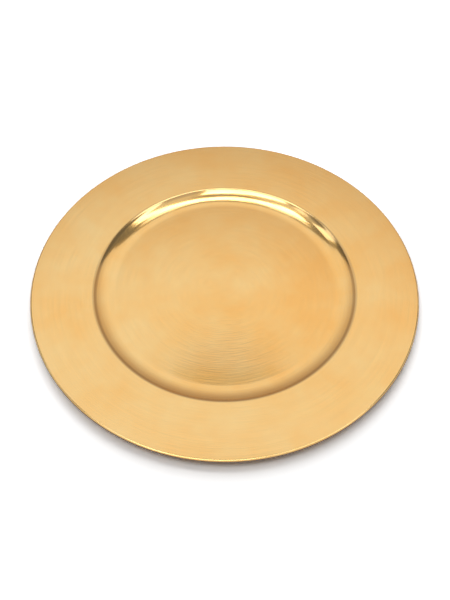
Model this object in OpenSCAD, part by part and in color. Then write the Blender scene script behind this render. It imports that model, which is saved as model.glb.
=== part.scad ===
// Round charger plate: a wide, gently rising rim round a shallow well, for setting under a dinner plate.
// It is one polypropylene moulding with a thin gold facing laminated over its top and round its edge,
// and self-adhesive non-slip pads seated in the foot ring below.
// Lengths are millimetres and angles are degrees. The origin is on the table, under the plate's centre.

/* [Rim] */
// Outside diameter of the plate
plate_d = 330; // [300:1:360]
// Rise of the rim from the well's mouth to the edge, as an angle
rim_tilt = 4.5; // [1:0.5:6]
// Slope of the bevel round the outer edge, below the level
bevel_tilt = 46; // [40:1:55]
// Radius of the corner between the rim and the bevel
corner_r = 1.2; // [0.8:0.1:1.4]
// Radius of the nose between the bevel and the underside
nose_r = 0.6; // [0.5:0.05:0.7]

/* [Well] */
// Diameter of the well's mouth, where the flat of the rim ends
mouth_d = 227; // [200:1:250]
// Depth of the well's floor below the mouth
well_depth = 6; // [4:0.5:9]
// Radius of the rounded shoulder between rim and well
shoulder_r = 4.5; // [3.5:0.5:10]
// Radius of the hollow between the well's wall and floor
hollow_r = 30; // [20:1:40]

/* [Moulding] */
// Thickness of the moulded wall, without the facing
wall_t = 1.8; // [1.6:0.1:2.4]
// Height of the foot ring below the floor
foot_h = 0.8; // [0.6:0.1:2]
// Distance from the floor's edge in to the foot ring
foot_inset = 3; // [1:0.5:8]
// Chamfer along the foot ring's lower edges
foot_chamfer = 0.3; // [0.1:0.05:0.5]

/* [Facing] */
// Thickness of the gold facing
facing_t = 0.3; // [0.2:0.05:0.4]
// How far the facing wraps round the outer edge, as an angle
facing_wrap = 180; // [100:5:180]

/* [Pads] */
// Number of non-slip pads
pad_count = 4; // [3:1:8]
// Diameter of each pad
pad_d = 10; // [7:0.5:14]
// Thickness of each pad
pad_t = 1; // [0.8:0.1:2]
// Chamfer round each pad's lower edge
pad_chamfer = 0.25; // [0.1:0.05:0.4]
// Depth of the seat that a pad is stuck in
seat_depth = 0.5; // [0.3:0.1:0.6]
// Gap between a pad and the wall of its seat
seat_clearance = 0.2; // [0.1:0.05:0.4]
// Width of the foot ring left on each side of a seat
seat_land = 1.8; // [1:0.1:4]

/* [Hidden] */
// Segments in a full turn about the plate's axis
$fn = 180;
// Segments along each rounded stretch of the section
shoulder_steps = 8;
hollow_steps = 12;
corner_steps = 8;
nose_steps = 16;
// Overrun of a cut past the face that it opens
overrun = 1;

// Radii and angles of the section
plate_r = plate_d / 2;
mouth_r = mouth_d / 2;
wall_tilt = acos((shoulder_r * cos(rim_tilt) + hollow_r - well_depth) / (shoulder_r + hollow_r));

// Depths below the finished face, measured square to it
moulding_top = facing_t;
moulding_bottom = facing_t + wall_t;

// Heights above the table
foot_z = pad_t - seat_depth;
underside_z = foot_z + foot_h;
floor_z = underside_z + moulding_bottom;
mouth_z = floor_z + well_depth;

// Directions along the rim and square to it
rim_along = [cos(rim_tilt), sin(rim_tilt)];
rim_up = [-sin(rim_tilt), cos(rim_tilt)];

// Centres of the section's arcs
mouth_point = [mouth_r, mouth_z];
shoulder_centre = mouth_point - shoulder_r * rim_up;
hollow_centre = shoulder_centre + (shoulder_r + hollow_r) * [-sin(wall_tilt), cos(wall_tilt)];

// Outer edge: a corner, a bevel as long as the thickness leaves room for, and a nose down to the underside
edge_turn = rim_tilt + bevel_tilt;
rounds_t = corner_r * (1 - cos(edge_turn)) + nose_r * (1 + cos(edge_turn));
bevel_l = (moulding_bottom - rounds_t) / sin(edge_turn);
bevel_along = [cos(bevel_tilt), -sin(bevel_tilt)];
bevel_up = [sin(bevel_tilt), cos(bevel_tilt)];
edge_w = corner_r * (sin(rim_tilt) + bevel_up[0]) + bevel_l * bevel_along[0] + nose_r * (1 - bevel_up[0]);
rim_length = (plate_r - mouth_r - edge_w) / cos(rim_tilt);
corner_centre = mouth_point + rim_length * rim_along - corner_r * rim_up;
nose_centre = corner_centre + (corner_r - nose_r) * bevel_up + bevel_l * bevel_along;

// Foot ring and pad circle
floor_r = hollow_centre[0];
foot_outer_r = floor_r - foot_inset;
foot_w = pad_d + 2 * (seat_clearance + seat_land);
foot_inner_r = foot_outer_r - foot_w;
pad_circle_r = foot_outer_r - foot_w / 2;

function pad_name(i) = str("non_slip_pad_", i);

function arc(centre, radius, start, end, steps) = [
    for (i = [0 : steps])
        let (angle = start + (end - start) * i / steps)
        centre + radius * [cos(angle), sin(angle)]
];

// Well and shoulder at a depth below the finished face, from the floor's edge out to the rim
function well_line(depth) = concat(
    arc(hollow_centre, hollow_r + depth, 270, 270 + wall_tilt, hollow_steps),
    arc(shoulder_centre, shoulder_r - depth, 90 + wall_tilt, 90 + rim_tilt, shoulder_steps)
);

// Outer edge at a depth below the finished face, from the rim over the bevel to a stop angle on the nose
function edge_line(depth, stop_angle) = concat(
    arc(corner_centre, corner_r - depth, 90 + rim_tilt, 90 - bevel_tilt, corner_steps),
    arc(nose_centre, nose_r - depth, 90 - bevel_tilt, stop_angle + rim_tilt, nose_steps)
);

// Whole top at a depth below the finished face, from the axis to where the nose stops
function top_line(depth, stop_angle) = concat(
    [[0, floor_z - depth]],
    well_line(depth),
    edge_line(depth, stop_angle)
);

function reversed(points) = [for (i = [len(points) - 1 : -1 : 0]) points[i]];

// Foot ring's section, from its outside in to the axis
function foot_line() = [
    [foot_outer_r, underside_z],
    [foot_outer_r, foot_z + foot_chamfer],
    [foot_outer_r - foot_chamfer, foot_z],
    [foot_inner_r + foot_chamfer, foot_z],
    [foot_inner_r, foot_z + foot_chamfer],
    [foot_inner_r, underside_z],
    [0, underside_z]
];

module at_pads() {
    for (i = [1 : pad_count])
        at_pad(i) children();
}

module at_pad(i) {
    rotate([0, 0, (i - 0.5) * 360 / pad_count])
        translate([pad_circle_r, 0, 0])
            children();
}

// Rim, well, floor and foot ring, moulded in one
module plate_body() {
    color("#A8793A")
        difference() {
            rotate_extrude()
                polygon(concat(
                    top_line(moulding_top, -90),
                    [nose_centre - nose_r * rim_up],
                    reversed(well_line(moulding_bottom)),
                    foot_line()
                ));
            at_pads() pad_seat();
        }
}

// Blind seat for one pad, cut up into the foot ring
module pad_seat() {
    translate([0, 0, foot_z - overrun])
        cylinder(r = pad_d / 2 + seat_clearance, h = overrun + seat_depth);
}

// Brushed gold film over the whole top and round the outer edge
module gold_facing() {
    color("#F5C982")
        rotate_extrude()
            polygon(concat(
                top_line(0, 90 - facing_wrap),
                reversed(top_line(facing_t, 90 - facing_wrap))
            ));
}

// One non-slip pad, standing on the table and stuck in its seat
module non_slip_pad(i) {
    pad_r = pad_d / 2;
    color("#2A2A2A")
        at_pad(i)
            rotate_extrude()
                polygon([
                    [0, 0],
                    [pad_r - pad_chamfer, 0],
                    [pad_r, pad_chamfer],
                    [pad_r, pad_t],
                    [0, pad_t]
                ]);
}

plate_body();
gold_facing();
for (i = [1 : pad_count])
    non_slip_pad(i);
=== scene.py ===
import math

import bpy
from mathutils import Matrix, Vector


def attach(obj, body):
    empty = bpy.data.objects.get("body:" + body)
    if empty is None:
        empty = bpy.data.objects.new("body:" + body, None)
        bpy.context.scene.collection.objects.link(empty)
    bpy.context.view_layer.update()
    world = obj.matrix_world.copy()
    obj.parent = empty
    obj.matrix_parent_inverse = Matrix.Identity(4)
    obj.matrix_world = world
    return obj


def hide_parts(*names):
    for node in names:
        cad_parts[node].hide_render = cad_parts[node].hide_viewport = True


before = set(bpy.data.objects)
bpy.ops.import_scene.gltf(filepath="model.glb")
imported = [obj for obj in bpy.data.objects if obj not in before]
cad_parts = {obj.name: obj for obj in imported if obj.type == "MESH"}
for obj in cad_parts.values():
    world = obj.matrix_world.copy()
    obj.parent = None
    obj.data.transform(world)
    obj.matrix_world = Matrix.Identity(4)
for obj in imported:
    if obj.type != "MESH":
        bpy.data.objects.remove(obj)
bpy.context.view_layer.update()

# A charger plate in brushed, lacquered gold, laid on white paper under soft studio light.
# Lengths are metres, in the frame of the solids: the origin is on the table, under the plate's centre.
MM = 0.001
FULL_TURN = 2 * math.pi

# Angles in the plate's section, counted from straight outwards
UP = math.radians(90)
DOWN = -UP

# Sizes of the plate, as in its solids. The radius is a hair less, to stay inside their facets.
PLATE_R = 164.94 * MM
RIM_TILT = math.radians(4.5)
BEVEL_TILT = math.radians(46)
CORNER_R = 1.2 * MM
NOSE_R = 0.6 * MM
MOUTH_R = 113.5 * MM
WELL_DEPTH = 6 * MM
SHOULDER_R = 4.5 * MM
HOLLOW_R = 30 * MM
WALL_T = 1.8 * MM
FACING_T = 0.3 * MM
FACING_WRAP = math.radians(180)
FOOT_H = 0.8 * MM
FOOT_INSET = 3 * MM
FOOT_CHAMFER = 0.3 * MM
PAD_COUNT = 4
PAD_R = 5 * MM
PAD_T = 1 * MM
PAD_ROUND = 0.25 * MM
SEAT_DEPTH = 0.5 * MM
SEAT_CLEARANCE = 0.2 * MM
SEAT_LAND = 1.8 * MM

# Heights above the table
FOOT_Z = PAD_T - SEAT_DEPTH
UNDERSIDE_Z = FOOT_Z + FOOT_H
FLOOR_Z = UNDERSIDE_Z + FACING_T + WALL_T
MOUTH_Z = FLOOR_Z + WELL_DEPTH

# Centres of the section's arcs, as a radius and a height
WALL_TILT = math.acos(
    (SHOULDER_R * math.cos(RIM_TILT) + HOLLOW_R - WELL_DEPTH) / (SHOULDER_R + HOLLOW_R)
)
RIM_ALONG = Vector((math.cos(RIM_TILT), math.sin(RIM_TILT)))
RIM_UP = Vector((-math.sin(RIM_TILT), math.cos(RIM_TILT)))
WALL_UP = Vector((-math.sin(WALL_TILT), math.cos(WALL_TILT)))
MOUTH_POINT = Vector((MOUTH_R, MOUTH_Z))
SHOULDER_CENTRE = MOUTH_POINT - SHOULDER_R * RIM_UP
HOLLOW_CENTRE = SHOULDER_CENTRE + (SHOULDER_R + HOLLOW_R) * WALL_UP

# Outer edge: a small corner, a bevel and a nose that runs into the underside
EDGE_TURN = RIM_TILT + BEVEL_TILT
BEVEL_ALONG = Vector((math.cos(BEVEL_TILT), -math.sin(BEVEL_TILT)))
BEVEL_UP = Vector((math.sin(BEVEL_TILT), math.cos(BEVEL_TILT)))
ROUNDS_T = CORNER_R * (1 - math.cos(EDGE_TURN)) + NOSE_R * (1 + math.cos(EDGE_TURN))
BEVEL_L = (FACING_T + WALL_T - ROUNDS_T) / math.sin(EDGE_TURN)
EDGE_W = CORNER_R * (math.sin(RIM_TILT) + BEVEL_UP.x) + BEVEL_L * BEVEL_ALONG.x + NOSE_R * (1 - BEVEL_UP.x)
RIM_LENGTH = (PLATE_R - MOUTH_R - EDGE_W) / math.cos(RIM_TILT)
CORNER_CENTRE = MOUTH_POINT + RIM_LENGTH * RIM_ALONG - CORNER_R * RIM_UP
NOSE_CENTRE = CORNER_CENTRE + (CORNER_R - NOSE_R) * BEVEL_UP + BEVEL_L * BEVEL_ALONG

# Foot ring and the circle that the pads stand on
FLOOR_R = HOLLOW_CENTRE.x
FOOT_OUTER_R = FLOOR_R - FOOT_INSET
FOOT_W = 2 * (PAD_R + SEAT_CLEARANCE + SEAT_LAND)
FOOT_INNER_R = FOOT_OUTER_R - FOOT_W
PAD_CIRCLE_R = FOOT_OUTER_R - FOOT_W / 2

# Height of the ceiling that the lamps hang from
CEILING_Z = 2.0

# Steps along each stretch of the section, and round the plate
FLAT_STEPS = 24
HOLLOW_STEPS = 32
SHOULDER_STEPS = 20
CORNER_STEPS = 12
BEVEL_STEPS = 4
NOSE_STEPS = 20
PAD_STEPS = 6
PLATE_SEGMENTS = 288
PAD_SEGMENTS = 64
CREASE_ANGLE = math.radians(30)


def line(start, end, steps):
    """Points along a straight stretch of a section, without its end."""
    return [start.lerp(end, i / steps) for i in range(steps)]


def arc(centre, radius, start, end, steps):
    """Points along a rounded stretch of a section, with both its ends."""
    angles = [start + (end - start) * i / steps for i in range(steps + 1)]
    return [centre + radius * Vector((math.cos(a), math.sin(a))) for a in angles]


def well_line(depth):
    """Hollow and shoulder at a depth below the finished face, from the floor's edge out to the rim."""
    hollow = arc(HOLLOW_CENTRE, HOLLOW_R + depth, DOWN, DOWN + WALL_TILT, HOLLOW_STEPS)
    shoulder = arc(SHOULDER_CENTRE, SHOULDER_R - depth, UP + WALL_TILT, UP + RIM_TILT, SHOULDER_STEPS)
    return hollow[:-1] + shoulder


def edge_line(depth, stop):
    """Outer edge at a depth below the finished face, from the rim over the bevel to a stop on the nose."""
    corner = arc(CORNER_CENTRE, CORNER_R - depth, UP + RIM_TILT, UP - BEVEL_TILT, CORNER_STEPS)
    nose = arc(NOSE_CENTRE, NOSE_R - depth, UP - BEVEL_TILT, stop + RIM_TILT, NOSE_STEPS)
    return corner[:-1] + line(corner[-1], nose[0], BEVEL_STEPS) + nose


def top_line(depth, stop):
    """Whole top at a depth below the finished face, from the axis to where the nose stops."""
    well = well_line(depth)
    edge = edge_line(depth, stop)
    floor = line(Vector((0, FLOOR_Z - depth)), well[0], FLAT_STEPS)
    rim = line(well[-1], edge[0], FLAT_STEPS)
    return floor + well[:-1] + rim + edge


def foot_line():
    """Foot ring's section, from its outside in to the axis."""
    return [
        Vector((FOOT_OUTER_R, UNDERSIDE_Z)),
        Vector((FOOT_OUTER_R, FOOT_Z + FOOT_CHAMFER)),
        Vector((FOOT_OUTER_R - FOOT_CHAMFER, FOOT_Z)),
        Vector((FOOT_INNER_R + FOOT_CHAMFER, FOOT_Z)),
        Vector((FOOT_INNER_R, FOOT_Z + FOOT_CHAMFER)),
        Vector((FOOT_INNER_R, UNDERSIDE_Z)),
        Vector((0, UNDERSIDE_Z)),
    ]


def turned(name, section, segments, centre=(0, 0)):
    """A piece turned from a closed section that runs out along the top and back in along the bottom."""
    points = []
    rings = []
    for radius, height in section:
        count = segments if radius > 0 else 1
        rings.append(range(len(points), len(points) + count))
        for i in range(count):
            angle = FULL_TURN * i / count
            x = centre[0] + radius * math.cos(angle)
            y = centre[1] + radius * math.sin(angle)
            points.append((x, y, height))
    faces = []
    for ring, following in zip(rings, rings[1:] + rings[:1]):
        if len(ring) + len(following) == 2:
            continue
        for i in range(segments):
            corners = [
                ring[i % len(ring)],
                following[i % len(following)],
                following[(i + 1) % len(following)],
                ring[(i + 1) % len(ring)],
            ]
            faces.append(list(dict.fromkeys(corners)))
    mesh = bpy.data.meshes.new(name)
    mesh.from_pydata(points, [], faces)
    piece = bpy.data.objects.new(name, mesh)
    bpy.context.scene.collection.objects.link(piece)
    return piece


def finish_piece(piece, material, node):
    """Smooth shading with its creases kept, the material, and the place in the frame."""
    piece.data.shade_smooth()
    piece.data.set_sharp_from_angle(angle=CREASE_ANGLE)
    piece.data.materials.clear()
    piece.data.materials.append(material)
    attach(piece, "root")
    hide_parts(node)


def pad_place(i):
    """Centre of a pad on its circle, counted from 1."""
    angle = FULL_TURN * (i - 0.5) / PAD_COUNT
    return PAD_CIRCLE_R * math.cos(angle), PAD_CIRCLE_R * math.sin(angle)


def make_facing():
    """Gold film over the whole top, wrapped round the outer edge."""
    stop = UP - FACING_WRAP
    section = top_line(0, stop) + top_line(FACING_T, stop)[::-1]
    return turned("brushed_gold_face", section, PLATE_SEGMENTS)


def make_body():
    """Moulding below the film, with a foot ring and a blind seat for each pad."""
    section = top_line(FACING_T, DOWN)
    section.append(NOSE_CENTRE - NOSE_R * RIM_UP)
    section += well_line(FACING_T + WALL_T)[::-1] + foot_line()
    body = turned("moulded_underside", section, PLATE_SEGMENTS)
    seat_r = PAD_R + SEAT_CLEARANCE
    seat_top = FOOT_Z + SEAT_DEPTH
    seat_section = [
        Vector((0, seat_top)),
        Vector((seat_r, seat_top)),
        Vector((seat_r, 0)),
        Vector((0, 0)),
    ]
    for i in range(1, PAD_COUNT + 1):
        cutter = turned("seat_cutter", seat_section, PAD_SEGMENTS, pad_place(i))
        cut = body.modifiers.new("seat", "BOOLEAN")
        cut.operation = "DIFFERENCE"
        cut.solver = "EXACT"
        cut.object = cutter
    depsgraph = bpy.context.evaluated_depsgraph_get()
    whole = body.data
    body.data = bpy.data.meshes.new_from_object(body.evaluated_get(depsgraph))
    body.data.name = body.name
    for cut in list(body.modifiers):
        bpy.data.objects.remove(cut.object)
        body.modifiers.remove(cut)
    bpy.data.meshes.remove(whole)
    return body


def make_pad(i):
    """Non-slip pad with its lower edge rounded, stuck in its seat."""
    round_centre = Vector((PAD_R - PAD_ROUND, PAD_ROUND))
    section = [Vector((0, PAD_T)), Vector((PAD_R, PAD_T))]
    section += arc(round_centre, PAD_ROUND, 0, DOWN, PAD_STEPS)
    section.append(Vector((0, 0)))
    return turned(f"rubber_pad_{i}", section, PAD_SEGMENTS, pad_place(i))


def linear(colour):
    """Linear values of an sRGB hex colour, by the sRGB curve, with full opacity."""
    shares = [int(colour[i:i + 2], 16) / 255 for i in (1, 3, 5)]
    return [s / 12.92 if s <= 0.04045 else ((s + 0.055) / 1.055) ** 2.4 for s in shares] + [1.0]


def add_node(tree, kind, sockets=None, **settings):
    """Adds a node with its settings, then fills each socket with a value or links it to an output."""
    node = tree.nodes.new(kind)
    for name, value in settings.items():
        setattr(node, name, value)
    for name, value in (sockets or {}).items():
        if isinstance(value, bpy.types.NodeSocket):
            tree.links.new(value, node.inputs[name])
        else:
            node.inputs[name].default_value = value
    return node


def new_material(name):
    """An empty node material, with its tree."""
    material = bpy.data.materials.new(name)
    material.use_nodes = True
    material.node_tree.nodes.clear()
    return material, material.node_tree


def cloudy_gold(tree, across, side, radius):
    """Gold under uneven lacquer: paler and deeper clouds, and in the well deeper to the right."""
    cloud_size = 50 * MM
    cloud_pick = 1.5
    deep_cloud = 0.25
    pale_cloud = 0.75
    left_share = 0.08
    right_share = -0.36
    clouds = add_node(
        tree, "ShaderNodeTexNoise",
        {"Vector": across, "W": cloud_pick, "Scale": 1 / cloud_size, "Detail": 3, "Roughness": 0.6},
        noise_dimensions="4D",
    )
    cloud_share = add_node(
        tree, "ShaderNodeMapRange",
        {"Value": clouds.outputs["Fac"], "From Min": deep_cloud, "From Max": pale_cloud},
    )
    # In the well the gold is drawn deeper towards the right and a little paler towards the left.
    lean_share = add_node(
        tree, "ShaderNodeMapRange",
        {
            "Value": side,
            "From Min": -MOUTH_R,
            "From Max": MOUTH_R,
            "To Min": left_share,
            "To Max": right_share,
        },
    )
    well_share = add_node(
        tree, "ShaderNodeMapRange",
        {"Value": radius, "From Min": FLOOR_R, "From Max": MOUTH_R, "To Min": 1, "To Max": 0},
        interpolation_type="SMOOTHSTEP",
    )
    pale_share = add_node(
        tree, "ShaderNodeMath",
        {0: lean_share.outputs["Result"], 1: well_share.outputs["Result"], 2: cloud_share.outputs["Result"]},
        operation="MULTIPLY_ADD",
        use_clamp=True,
    )
    gold = add_node(
        tree, "ShaderNodeMix",
        {"Factor": pale_share.outputs[0], "A": linear("#F3B95D"), "B": linear("#F2CD86")},
        data_type="RGBA",
    )
    return gold.outputs["Result"]


def gold_with_painted_edge_shade(tree, gold, height, radius):
    """Gold with a painted shade: dark brown along the lower side of the outer edge."""
    edge_shade_rise = 0.3 * MM
    edge_shade_fade = 0.1 * MM
    edge_fade = 1 * MM
    edge_r = PLATE_R - EDGE_W
    edge_shade_top = NOSE_CENTRE.y + NOSE_R * BEVEL_UP.y + edge_shade_rise
    low_share = add_node(
        tree, "ShaderNodeMapRange",
        {
            "Value": height,
            "From Min": edge_shade_top - edge_shade_fade,
            "From Max": edge_shade_top + edge_shade_fade,
            "To Min": 1,
            "To Max": 0,
        },
    )
    edge_share = add_node(
        tree, "ShaderNodeMapRange", {"Value": radius, "From Min": edge_r - edge_fade, "From Max": edge_r}
    )
    edge_shade_share = add_node(
        tree, "ShaderNodeMath",
        {0: low_share.outputs["Result"], 1: edge_share.outputs["Result"]},
        operation="MULTIPLY",
    )
    # Painted shade: the lower side of the outer edge is drawn dark brown.
    colour = add_node(
        tree, "ShaderNodeMix",
        {"Factor": edge_shade_share.outputs[0], "A": gold, "B": linear("#54300F")},
        data_type="RGBA",
    )
    return colour.outputs["Result"]


def brush_strokes(tree, across, radius):
    """Strokes of the brush: long thin patches along circles round the plate's axis."""
    # Real strokes lie about 0.1 mm apart: they are drawn coarser, so that they show in the picture.
    stroke_gap = 0.9 * MM
    strokes_per_radian = 3
    heading = add_node(tree, "ShaderNodeVectorMath", {0: across}, operation="NORMALIZE")
    place_round = add_node(
        tree, "ShaderNodeVectorMath", {0: heading.outputs[0], "Scale": strokes_per_radian}, operation="SCALE"
    )
    gaps_out = add_node(tree, "ShaderNodeMath", {0: radius, 1: 1 / stroke_gap}, operation="MULTIPLY")
    place_out = add_node(tree, "ShaderNodeCombineXYZ", {"Z": gaps_out.outputs[0]})
    place = add_node(
        tree, "ShaderNodeVectorMath", {0: place_round.outputs[0], 1: place_out.outputs[0]}, operation="ADD"
    )
    strokes = add_node(
        tree, "ShaderNodeTexNoise", {"Vector": place.outputs[0], "Scale": 1, "Detail": 1, "Roughness": 0.5}
    )
    return strokes.outputs["Fac"]


def stroke_tone_and_painted_shoulder_shade(tree, strokes, radius):
    """Tone that the brush leaves, each stroke a little deeper or paler, and a painted shade that darkens the
    shoulder.
    """
    faint_stroke = 0.3
    full_stroke = 0.7
    stroke_tint_share = 0.02
    painted_shade_inset = 2 * MM
    painted_shade_inner = 1 * MM
    painted_shade_outer = 2.6 * MM
    painted_shade_level = 0.72
    stroke_level = add_node(
        tree, "ShaderNodeMapRange",
        {
            "Value": strokes,
            "From Min": faint_stroke,
            "From Max": full_stroke,
            "To Min": 1 - stroke_tint_share,
            "To Max": 1 + stroke_tint_share,
        },
    )
    from_shoulder = add_node(
        tree, "ShaderNodeMath", {0: radius, 1: MOUTH_R - painted_shade_inset}, operation="SUBTRACT"
    )
    off_shoulder = add_node(tree, "ShaderNodeMath", {0: from_shoulder.outputs[0]}, operation="ABSOLUTE")
    # Painted shade: a band round the shoulder of the well is drawn darker.
    shoulder_painted_shade = add_node(
        tree, "ShaderNodeMapRange",
        {
            "Value": off_shoulder.outputs[0],
            "From Min": painted_shade_inner,
            "From Max": painted_shade_outer,
            "To Min": painted_shade_level,
            "To Max": 1,
        },
        interpolation_type="SMOOTHSTEP",
    )
    tone = add_node(
        tree, "ShaderNodeMath",
        {0: stroke_level.outputs["Result"], 1: shoulder_painted_shade.outputs["Result"]},
        operation="MULTIPLY",
    )
    return tone.outputs[0]


def lacquered_brushed_gold_film():
    """Metallised polyester film, brushed in circles and sealed with clear lacquer.

    The brushing leaves fine circular strokes, each a little deeper or paler than the next.
    The lacquer adds a sharp white gleam on top, and its uneven tint leaves deeper and paler clouds.
    In the well it is drawn deeper towards the right, and a little paler towards the left.
    Along the lower side of the outer edge a thin dark brown painted shade is drawn.
    The shoulder is drawn a little darker with painted shade.
    Above the floor the strokes are shallower, and the wall of the well is a little smoother.
    """
    stroke_height = 0.06 * MM
    rim_stroke_share = 0.5
    floor_fade = 1 * MM
    polish_full_inset = 3 * MM
    polish_end_inset = 1 * MM
    brushed_roughness = 0.15
    polished_roughness = 0.12
    material, tree = new_material("lacquered_brushed_gold_film")
    place = add_node(tree, "ShaderNodeTexCoord").outputs["Object"]
    point = add_node(tree, "ShaderNodeSeparateXYZ", {"Vector": place})
    across = add_node(tree, "ShaderNodeVectorMath", {0: place, 1: (1, 1, 0)}, operation="MULTIPLY").outputs[0]
    radius = add_node(tree, "ShaderNodeVectorMath", {0: across}, operation="LENGTH").outputs["Value"]
    strokes = brush_strokes(tree, across, radius)
    gold = cloudy_gold(tree, across, point.outputs["X"], radius)
    colour = add_node(
        tree, "ShaderNodeVectorMath",
        {
            0: gold_with_painted_edge_shade(tree, gold, point.outputs["Z"], radius),
            "Scale": stroke_tone_and_painted_shoulder_shade(tree, strokes, radius),
        },
        operation="SCALE",
    )
    above_floor_share = add_node(
        tree, "ShaderNodeMapRange",
        {"Value": radius, "From Min": FLOOR_R - floor_fade, "From Max": FLOOR_R + floor_fade},
        interpolation_type="SMOOTHSTEP",
    )
    stroke_strength = add_node(
        tree, "ShaderNodeMapRange",
        {"Value": above_floor_share.outputs["Result"], "To Min": 1, "To Max": rim_stroke_share},
    )
    relief = add_node(
        tree, "ShaderNodeBump",
        {"Height": strokes, "Strength": stroke_strength.outputs["Result"], "Distance": stroke_height},
    )
    below_rim_share = add_node(
        tree, "ShaderNodeMapRange",
        {
            "Value": radius,
            "From Min": MOUTH_R - polish_full_inset,
            "From Max": MOUTH_R - polish_end_inset,
            "To Min": 1,
            "To Max": 0,
        },
        interpolation_type="SMOOTHSTEP",
    )
    wall_share = add_node(
        tree, "ShaderNodeMath",
        {0: above_floor_share.outputs["Result"], 1: below_rim_share.outputs["Result"]},
        operation="MULTIPLY",
    )
    roughness = add_node(
        tree, "ShaderNodeMapRange",
        {"Value": wall_share.outputs[0], "To Min": brushed_roughness, "To Max": polished_roughness},
    )
    along = add_node(tree, "ShaderNodeTangent", direction_type="RADIAL", axis="Z")
    shader = add_node(
        tree, "ShaderNodeBsdfPrincipled",
        {
            "Base Color": colour.outputs[0],
            "Metallic": 1,
            "Roughness": roughness.outputs["Result"],
            "Anisotropic": 0.2,
            "Anisotropic Rotation": 0.25,
            "Tangent": along.outputs["Tangent"],
            "Normal": relief.outputs["Normal"],
            "Coat Weight": 1,
            "Coat Roughness": 0.03,
            "Coat IOR": 1.7,
        },
    )
    add_node(tree, "ShaderNodeOutputMaterial", {"Surface": shader.outputs["BSDF"]})
    return material


def moulded_gold_polypropylene():
    """Polypropylene with gold pigment, injection moulded against a lightly blasted tool.

    It looks satin and slightly waxy, with a fine even grain and faint cloudy flow of the pigment.
    """
    # Real grain of this kind is about 0.1 mm wide: it is drawn coarser, so that it shows in the picture.
    grain_size = 0.8 * MM
    grain_height = 0.03 * MM
    flow_size = 40 * MM
    material, tree = new_material("moulded_gold_polypropylene")
    place = add_node(tree, "ShaderNodeTexCoord").outputs["Object"]
    grain = add_node(tree, "ShaderNodeTexNoise", {"Vector": place, "Scale": 1 / grain_size, "Detail": 1})
    flow = add_node(tree, "ShaderNodeTexNoise", {"Vector": place, "Scale": 1 / flow_size, "Detail": 3})
    colour = add_node(
        tree, "ShaderNodeMix",
        {"Factor": flow.outputs["Fac"], "A": linear("#A67A3C"), "B": linear("#BA9150")},
        data_type="RGBA",
    )
    relief = add_node(
        tree, "ShaderNodeBump", {"Height": grain.outputs["Fac"], "Strength": 1, "Distance": grain_height}
    )
    shader = add_node(
        tree, "ShaderNodeBsdfPrincipled",
        {
            "Base Color": colour.outputs["Result"],
            "Roughness": 0.45,
            "IOR": 1.49,
            "Normal": relief.outputs["Normal"],
        },
    )
    add_node(tree, "ShaderNodeOutputMaterial", {"Surface": shader.outputs["BSDF"]})
    return material


def moulded_black_rubber():
    """Soft black rubber, moulded in a matt tool: dull, with a dusty bloom and a fine pebbled skin."""
    pebble_size = 0.6 * MM
    pebble_height = 0.04 * MM
    bloom_size = 4 * MM
    material, tree = new_material("moulded_black_rubber")
    place = add_node(tree, "ShaderNodeTexCoord").outputs["Object"]
    pebbles = add_node(tree, "ShaderNodeTexVoronoi", {"Vector": place, "Scale": 1 / pebble_size})
    bloom = add_node(tree, "ShaderNodeTexNoise", {"Vector": place, "Scale": 1 / bloom_size, "Detail": 3})
    colour = add_node(
        tree, "ShaderNodeMix",
        {"Factor": bloom.outputs["Fac"], "A": linear("#232323"), "B": linear("#323130")},
        data_type="RGBA",
    )
    relief = add_node(
        tree, "ShaderNodeBump",
        {"Height": pebbles.outputs["Distance"], "Strength": 1, "Distance": pebble_height},
    )
    shader = add_node(
        tree, "ShaderNodeBsdfPrincipled",
        {
            "Base Color": colour.outputs["Result"],
            "Roughness": 0.8,
            "IOR": 1.52,
            "Normal": relief.outputs["Normal"],
        },
    )
    add_node(tree, "ShaderNodeOutputMaterial", {"Surface": shader.outputs["BSDF"]})
    return material


def seen_share(tree):
    """1 for what the camera sees, straight or mirrored or through glass, and 0 for what only lights."""
    path = add_node(tree, "ShaderNodeLightPath")
    seen = path.outputs["Is Camera Ray"]
    for kind in ("Is Glossy Ray", "Is Transmission Ray"):
        either = add_node(tree, "ShaderNodeMath", {0: seen, 1: path.outputs[kind]}, operation="MAXIMUM")
        seen = either.outputs[0]
    return seen


def white_paper():
    """Matt white background paper, exposed a little brighter where it is seen.

    Only deep shadow shows on it, as on a product photograph's background.
    """
    seen_level = 1.4
    lighting_level = 0.94
    material, tree = new_material("white_paper")
    level = add_node(
        tree, "ShaderNodeMapRange",
        {"Value": seen_share(tree), "To Min": lighting_level, "To Max": seen_level},
    )
    shader = add_node(tree, "ShaderNodeBsdfDiffuse", {"Color": level.outputs["Result"]})
    add_node(tree, "ShaderNodeOutputMaterial", {"Surface": shader.outputs["BSDF"]})
    return material


def flat_panel(name, corners, material):
    """Flat panel between four corners."""
    mesh = bpy.data.meshes.new(name)
    mesh.from_pydata(corners, [], [(0, 1, 2, 3)])
    mesh.materials.append(material)
    panel = bpy.data.objects.new(name, mesh)
    bpy.context.scene.collection.objects.link(panel)
    return panel


def make_paper():
    """Sheet of white paper that the plate lies on."""
    reach = 3.0
    corners = [(-reach, -reach, 0), (reach, -reach, 0), (reach, reach, 0), (-reach, reach, 0)]
    paper = flat_panel("paper", corners, white_paper())


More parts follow.
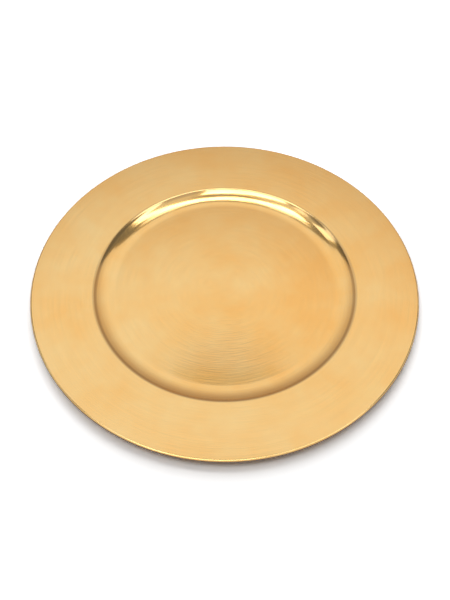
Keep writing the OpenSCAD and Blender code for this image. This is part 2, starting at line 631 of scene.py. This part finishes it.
def glowing_card():
    """White card that glows evenly above, and fades to a warm dusk towards the table and its sides."""
    dusk_z = -0.02
    full_z = 0.43
    side_rise = 2.0
    centre_x = -0.01
    warm_left = -0.05
    warm_right = 0.25
    material, tree = new_material("glowing_card")
    place = add_node(tree, "ShaderNodeTexCoord")
    point = add_node(tree, "ShaderNodeSeparateXYZ", {"Vector": place.outputs["Object"]})
    sideways = add_node(tree, "ShaderNodeMath", {0: point.outputs["X"], 1: centre_x}, operation="SUBTRACT")
    squared = add_node(tree, "ShaderNodeMath", {0: sideways.outputs[0], 1: 2}, operation="POWER")
    rise = add_node(tree, "ShaderNodeMath", {0: squared.outputs[0], 1: side_rise}, operation="MULTIPLY")
    height = add_node(
        tree, "ShaderNodeMath", {0: point.outputs["Z"], 1: rise.outputs[0]}, operation="SUBTRACT"
    )
    share = add_node(
        tree, "ShaderNodeMapRange",
        {"Value": height.outputs[0], "From Min": dusk_z, "From Max": full_z},
        interpolation_type="SMOOTHSTEP",
    )
    warm_share = add_node(
        tree, "ShaderNodeMapRange",
        {"Value": point.outputs["X"], "From Min": warm_left, "From Max": warm_right},
    )
    white = add_node(
        tree, "ShaderNodeMix",
        {"Factor": warm_share.outputs["Result"], "A": linear("#FEFEFE"), "B": linear("#FFF6EA")},
        data_type="RGBA",
    )
    colour = add_node(
        tree, "ShaderNodeMix",
        {"Factor": share.outputs["Result"], "A": linear("#B5A28E"), "B": white.outputs["Result"]},
        data_type="RGBA",
    )
    glow = add_node(tree, "ShaderNodeEmission", {"Color": colour.outputs["Result"], "Strength": 1})
    add_node(tree, "ShaderNodeOutputMaterial", {"Surface": glow.outputs["Emission"]})
    return material


def make_card():
    """Upright card close behind the plate, out of the camera's sight, that the gold mirrors."""
    half_width = 0.36
    behind = 0.3
    top = 0.62
    corners = [
        (-half_width, behind, 0),
        (half_width, behind, 0),
        (half_width, behind, top),
        (-half_width, behind, top),
    ]
    card = flat_panel("card", corners, glowing_card())
    card.visible_camera = False
    card.visible_shadow = False
    card.visible_diffuse = False


# The room is drawn by direction, as the parts of a unit vector: right, away from the camera, and up.
def back_wall_share(tree, heading, sideways):
    """Bright wall behind the plate, up to a top edge that dips in the middle."""
    # The higher a direction points, the smaller its part away from the camera: that part marks the top.
    top_side = 0.41
    top_middle = 0.495
    dip_inner = 0.06
    dip_outer = 0.1
    side_inner = 0.4
    side_outer = 0.5
    soft_edge = 0.025
    top = add_node(
        tree, "ShaderNodeMapRange",
        {
            "Value": sideways,
            "From Min": dip_inner,
            "From Max": dip_outer,
            "To Min": top_middle,
            "To Max": top_side,
        },
    )
    below_top = add_node(
        tree, "ShaderNodeMath", {0: heading["Y"], 1: top.outputs["Result"]}, operation="SUBTRACT"
    )
    height_share = add_node(
        tree, "ShaderNodeMapRange",
        {"Value": below_top.outputs[0], "From Min": 0, "From Max": soft_edge},
        interpolation_type="SMOOTHSTEP",
    )
    width_share = add_node(
        tree, "ShaderNodeMapRange",
        {"Value": sideways, "From Min": side_inner, "From Max": side_outer, "To Min": 1, "To Max": 0},
        interpolation_type="SMOOTHSTEP",
    )
    share = add_node(
        tree, "ShaderNodeMath",
        {0: height_share.outputs["Result"], 1: width_share.outputs["Result"]},
        operation="MULTIPLY",
    )
    return share.outputs[0]


def band_share(tree, heading, sideways):
    """Pale band in the middle, from the bright wall up to nearly overhead."""
    side_inner = 0.1
    side_outer = 0.2
    away_start = 0.1
    away_full = 0.2
    width_share = add_node(
        tree, "ShaderNodeMapRange",
        {"Value": sideways, "From Min": side_inner, "From Max": side_outer, "To Min": 1, "To Max": 0},
        interpolation_type="SMOOTHSTEP",
    )
    away_share = add_node(
        tree, "ShaderNodeMapRange", {"Value": heading["Y"], "From Min": away_start, "From Max": away_full}
    )
    share = add_node(
        tree, "ShaderNodeMath",
        {0: width_share.outputs["Result"], 1: away_share.outputs["Result"]},
        operation="MULTIPLY",
    )
    return share.outputs[0]


def dim_room_level(tree, heading):
    """Level of the room itself, which gets dimmer towards the camera and towards the table."""
    front_level = 0.1
    back_level = 0.22
    front_away = -0.6
    back_away = 0
    low_up = 0.1
    high_up = 0.5
    low_share = 0.25
    level = add_node(
        tree, "ShaderNodeMapRange",
        {
            "Value": heading["Y"],
            "From Min": front_away,
            "From Max": back_away,
            "To Min": front_level,
            "To Max": back_level,
        },
    )
    height_share = add_node(
        tree, "ShaderNodeMapRange",
        {"Value": heading["Z"], "From Min": low_up, "From Max": high_up, "To Min": low_share, "To Max": 1},
    )
    dimmed = add_node(
        tree, "ShaderNodeMath",
        {0: level.outputs["Result"], 1: height_share.outputs["Result"]},
        operation="MULTIPLY",
    )
    return dimmed.outputs[0]


def ceiling_share(tree, heading):
    """Ceiling round the softboxes, from overhead towards the camera."""
    edge_up = 0.75
    full_up = 0.88
    full_away = 0.03
    edge_away = 0.12
    height_share = add_node(
        tree, "ShaderNodeMapRange", {"Value": heading["Z"], "From Min": edge_up, "From Max": full_up}
    )
    away_share = add_node(
        tree, "ShaderNodeMapRange",
        {"Value": heading["Y"], "From Min": full_away, "From Max": edge_away, "To Min": 1, "To Max": 0},
    )
    share = add_node(
        tree, "ShaderNodeMath",
        {0: height_share.outputs["Result"], 1: away_share.outputs["Result"]},
        operation="MULTIPLY",
    )
    return share.outputs[0]


def ceiling_level(tree, sideways):
    """Level of the ceiling, which is dimmer in the middle than at the sides."""
    middle_level = 0.42
    side_level = 0.8
    side_inner = 0.1
    side_outer = 0.25
    level = add_node(
        tree, "ShaderNodeMapRange",
        {
            "Value": sideways,
            "From Min": side_inner,
            "From Max": side_outer,
            "To Min": middle_level,
            "To Max": side_level,
        },
    )
    return level.outputs["Result"]


def wall_stretch_share(tree, heading, away_full, away_end, up_full, up_end):
    """Stretch of wall that is whole as far away and as far up as given, and fades out beyond."""
    away_share = add_node(
        tree, "ShaderNodeMapRange",
        {"Value": heading["Y"], "From Min": away_full, "From Max": away_end, "To Min": 1, "To Max": 0},
    )
    height_share = add_node(
        tree, "ShaderNodeMapRange",
        {"Value": heading["Z"], "From Min": up_full, "From Max": up_end, "To Min": 1, "To Max": 0},
    )
    share = add_node(
        tree, "ShaderNodeMath",
        {0: away_share.outputs["Result"], 1: height_share.outputs["Result"]},
        operation="MULTIPLY",
    )
    return share.outputs[0]


def front_wall_share(tree, heading):
    """Pale wall that is seen and mirrored but lights nothing: low round the sides, and tall in front."""
    low_share = wall_stretch_share(tree, heading, away_full=0.1, away_end=0.35, up_full=0.3, up_end=0.45)
    tall_share = wall_stretch_share(tree, heading, away_full=-0.25, away_end=-0.1, up_full=0.7, up_end=0.78)
    wall_share = add_node(tree, "ShaderNodeMath", {0: low_share, 1: tall_share}, operation="MAXIMUM")
    share = add_node(
        tree, "ShaderNodeMath", {0: wall_share.outputs[0], 1: seen_share(tree)}, operation="MULTIPLY"
    )
    return share.outputs[0]


def light_room():
    """Dim room with a ceiling, a pale wall in front, a pale band and a bright wall behind the plate.

    Each of them is laid over the ones before it.
    """
    front_wall_level = 0.8
    band_level = 0.5
    back_wall_level = 1.03
    world = bpy.data.worlds.new("studio_room")
    world.use_nodes = True
    tree = world.node_tree
    tree.nodes.clear()
    bpy.context.scene.world = world
    place = add_node(tree, "ShaderNodeTexCoord")
    heading = add_node(tree, "ShaderNodeSeparateXYZ", {"Vector": place.outputs["Generated"]}).outputs
    sideways = add_node(tree, "ShaderNodeMath", {0: heading["X"]}, operation="ABSOLUTE").outputs[0]
    layers = [
        (ceiling_share(tree, heading), ceiling_level(tree, sideways)),
        (front_wall_share(tree, heading), front_wall_level),
        (band_share(tree, heading, sideways), band_level),
        (back_wall_share(tree, heading, sideways), back_wall_level),
    ]
    level = dim_room_level(tree, heading)
    for share, layer_level in layers:
        mixed = add_node(
            tree, "ShaderNodeMix", {"Factor": share, "A": level, "B": layer_level}, data_type="FLOAT"
        )
        level = mixed.outputs["Result"]
    sky = add_node(tree, "ShaderNodeBackground", {"Color": linear("#FFFFFF"), "Strength": level})
    add_node(tree, "ShaderNodeOutputWorld", {"Surface": sky.outputs["Background"]})


def add_lamp(name, place, target, width, depth, radiance):
    """Soft rectangular lamp of an even brightness, facing a target."""
    lamp = bpy.data.lights.new(name, "AREA")
    lamp.shape = "RECTANGLE"
    lamp.size = width
    lamp.size_y = depth
    lamp.energy = radiance * math.pi * width * depth
    holder = bpy.data.objects.new(name, lamp)
    holder.location = place
    facing = Vector(target) - Vector(place)
    holder.rotation_euler = facing.to_track_quat("-Z", "Y").to_euler()
    holder.visible_camera = False
    bpy.context.scene.collection.objects.link(holder)
    return holder


def ceiling_lamp(name, left, right, front, back, radiance):
    """Lamp between four lines of the ceiling, facing down."""
    middle = Vector(((left + right) / 2, (front + back) / 2, CEILING_Z))
    floor_below = middle - Vector((0, 0, CEILING_Z))
    add_lamp(name, middle, floor_below, right - left, back - front, radiance)


def light_softboxes():
    """Softboxes side by side on the ceiling, which the wall of the well mirrors as bright stretches."""
    full = 3.6
    medium = 2.6
    low = 1.5
    ceiling_lamp("softbox_back", left=-0.8, right=0.55, front=0.1, back=0.48, radiance=full)
    ceiling_lamp("softbox_rear_left", left=-0.62, right=-0.22, front=0.48, back=0.68, radiance=low)
    ceiling_lamp("softbox_rear_right", left=0.22, right=0.62, front=0.48, back=0.68, radiance=low)
    ceiling_lamp("softbox_back_right", left=0.55, right=1.05, front=0.05, back=0.42, radiance=medium)
    ceiling_lamp("softbox_front", left=-1.0, right=0.3, front=-0.9, back=-0.36, radiance=full)
    ceiling_lamp("softbox_right", left=1.05, right=1.35, front=-0.5, back=0.25, radiance=medium)
    ceiling_lamp("softbox_far_left", left=-1.35, right=-1.05, front=-0.3, back=0, radiance=low)
    ceiling_lamp("softbox_left", left=-2.0, right=-1.05, front=0.3, back=0.7, radiance=low)


def light_studio():
    """Softboxes above, one behind the camera for the edge, a key lamp for the shadow, a card and the room."""
    origin = (0, 0, 0)
    behind_camera = (0, -1.07, 1.15)
    above_behind = (-0.08, 1.0, 1.8)
    light_softboxes()
    edge_lamp = add_lamp("softbox_camera", behind_camera, origin, width=1.6, depth=0.75, radiance=0.4)
    edge_lamp.visible_diffuse = False
    key_lamp = add_lamp("shadow_key", above_behind, origin, width=1.2, depth=1.2, radiance=0.9)
    key_lamp.visible_glossy = False
    make_card()
    light_room()


def place_camera():
    """Camera of the photograph: in front of the plate, looking down on it."""
    focal_length_mm = 49.63
    sensor_width_mm = 36
    side = 0.34 * MM
    distance = 420.05 * MM
    height = 581.24 * MM
    degrees_down = 54.724
    camera = bpy.data.cameras.new("camera")
    camera.lens = focal_length_mm
    camera.sensor_width = sensor_width_mm
    holder = bpy.data.objects.new("camera", camera)
    holder.location = (side, -distance, height)
    holder.rotation_euler = (math.radians(90 - degrees_down), 0, 0)
    bpy.context.scene.collection.objects.link(holder)
    bpy.context.scene.camera = holder


def make_plate():
    """Every piece of the plate, in its material."""
    finish_piece(make_facing(), lacquered_brushed_gold_film(), "gold_facing")
    finish_piece(make_body(), moulded_gold_polypropylene(), "plate_body")
    rubber = moulded_black_rubber()
    for i in range(1, PAD_COUNT + 1):
        finish_piece(make_pad(i), rubber, f"non_slip_pad_{i}")


place_camera()
make_plate()
make_paper()
light_studio()
bpy.context.scene.view_settings.view_transform = "Standard"
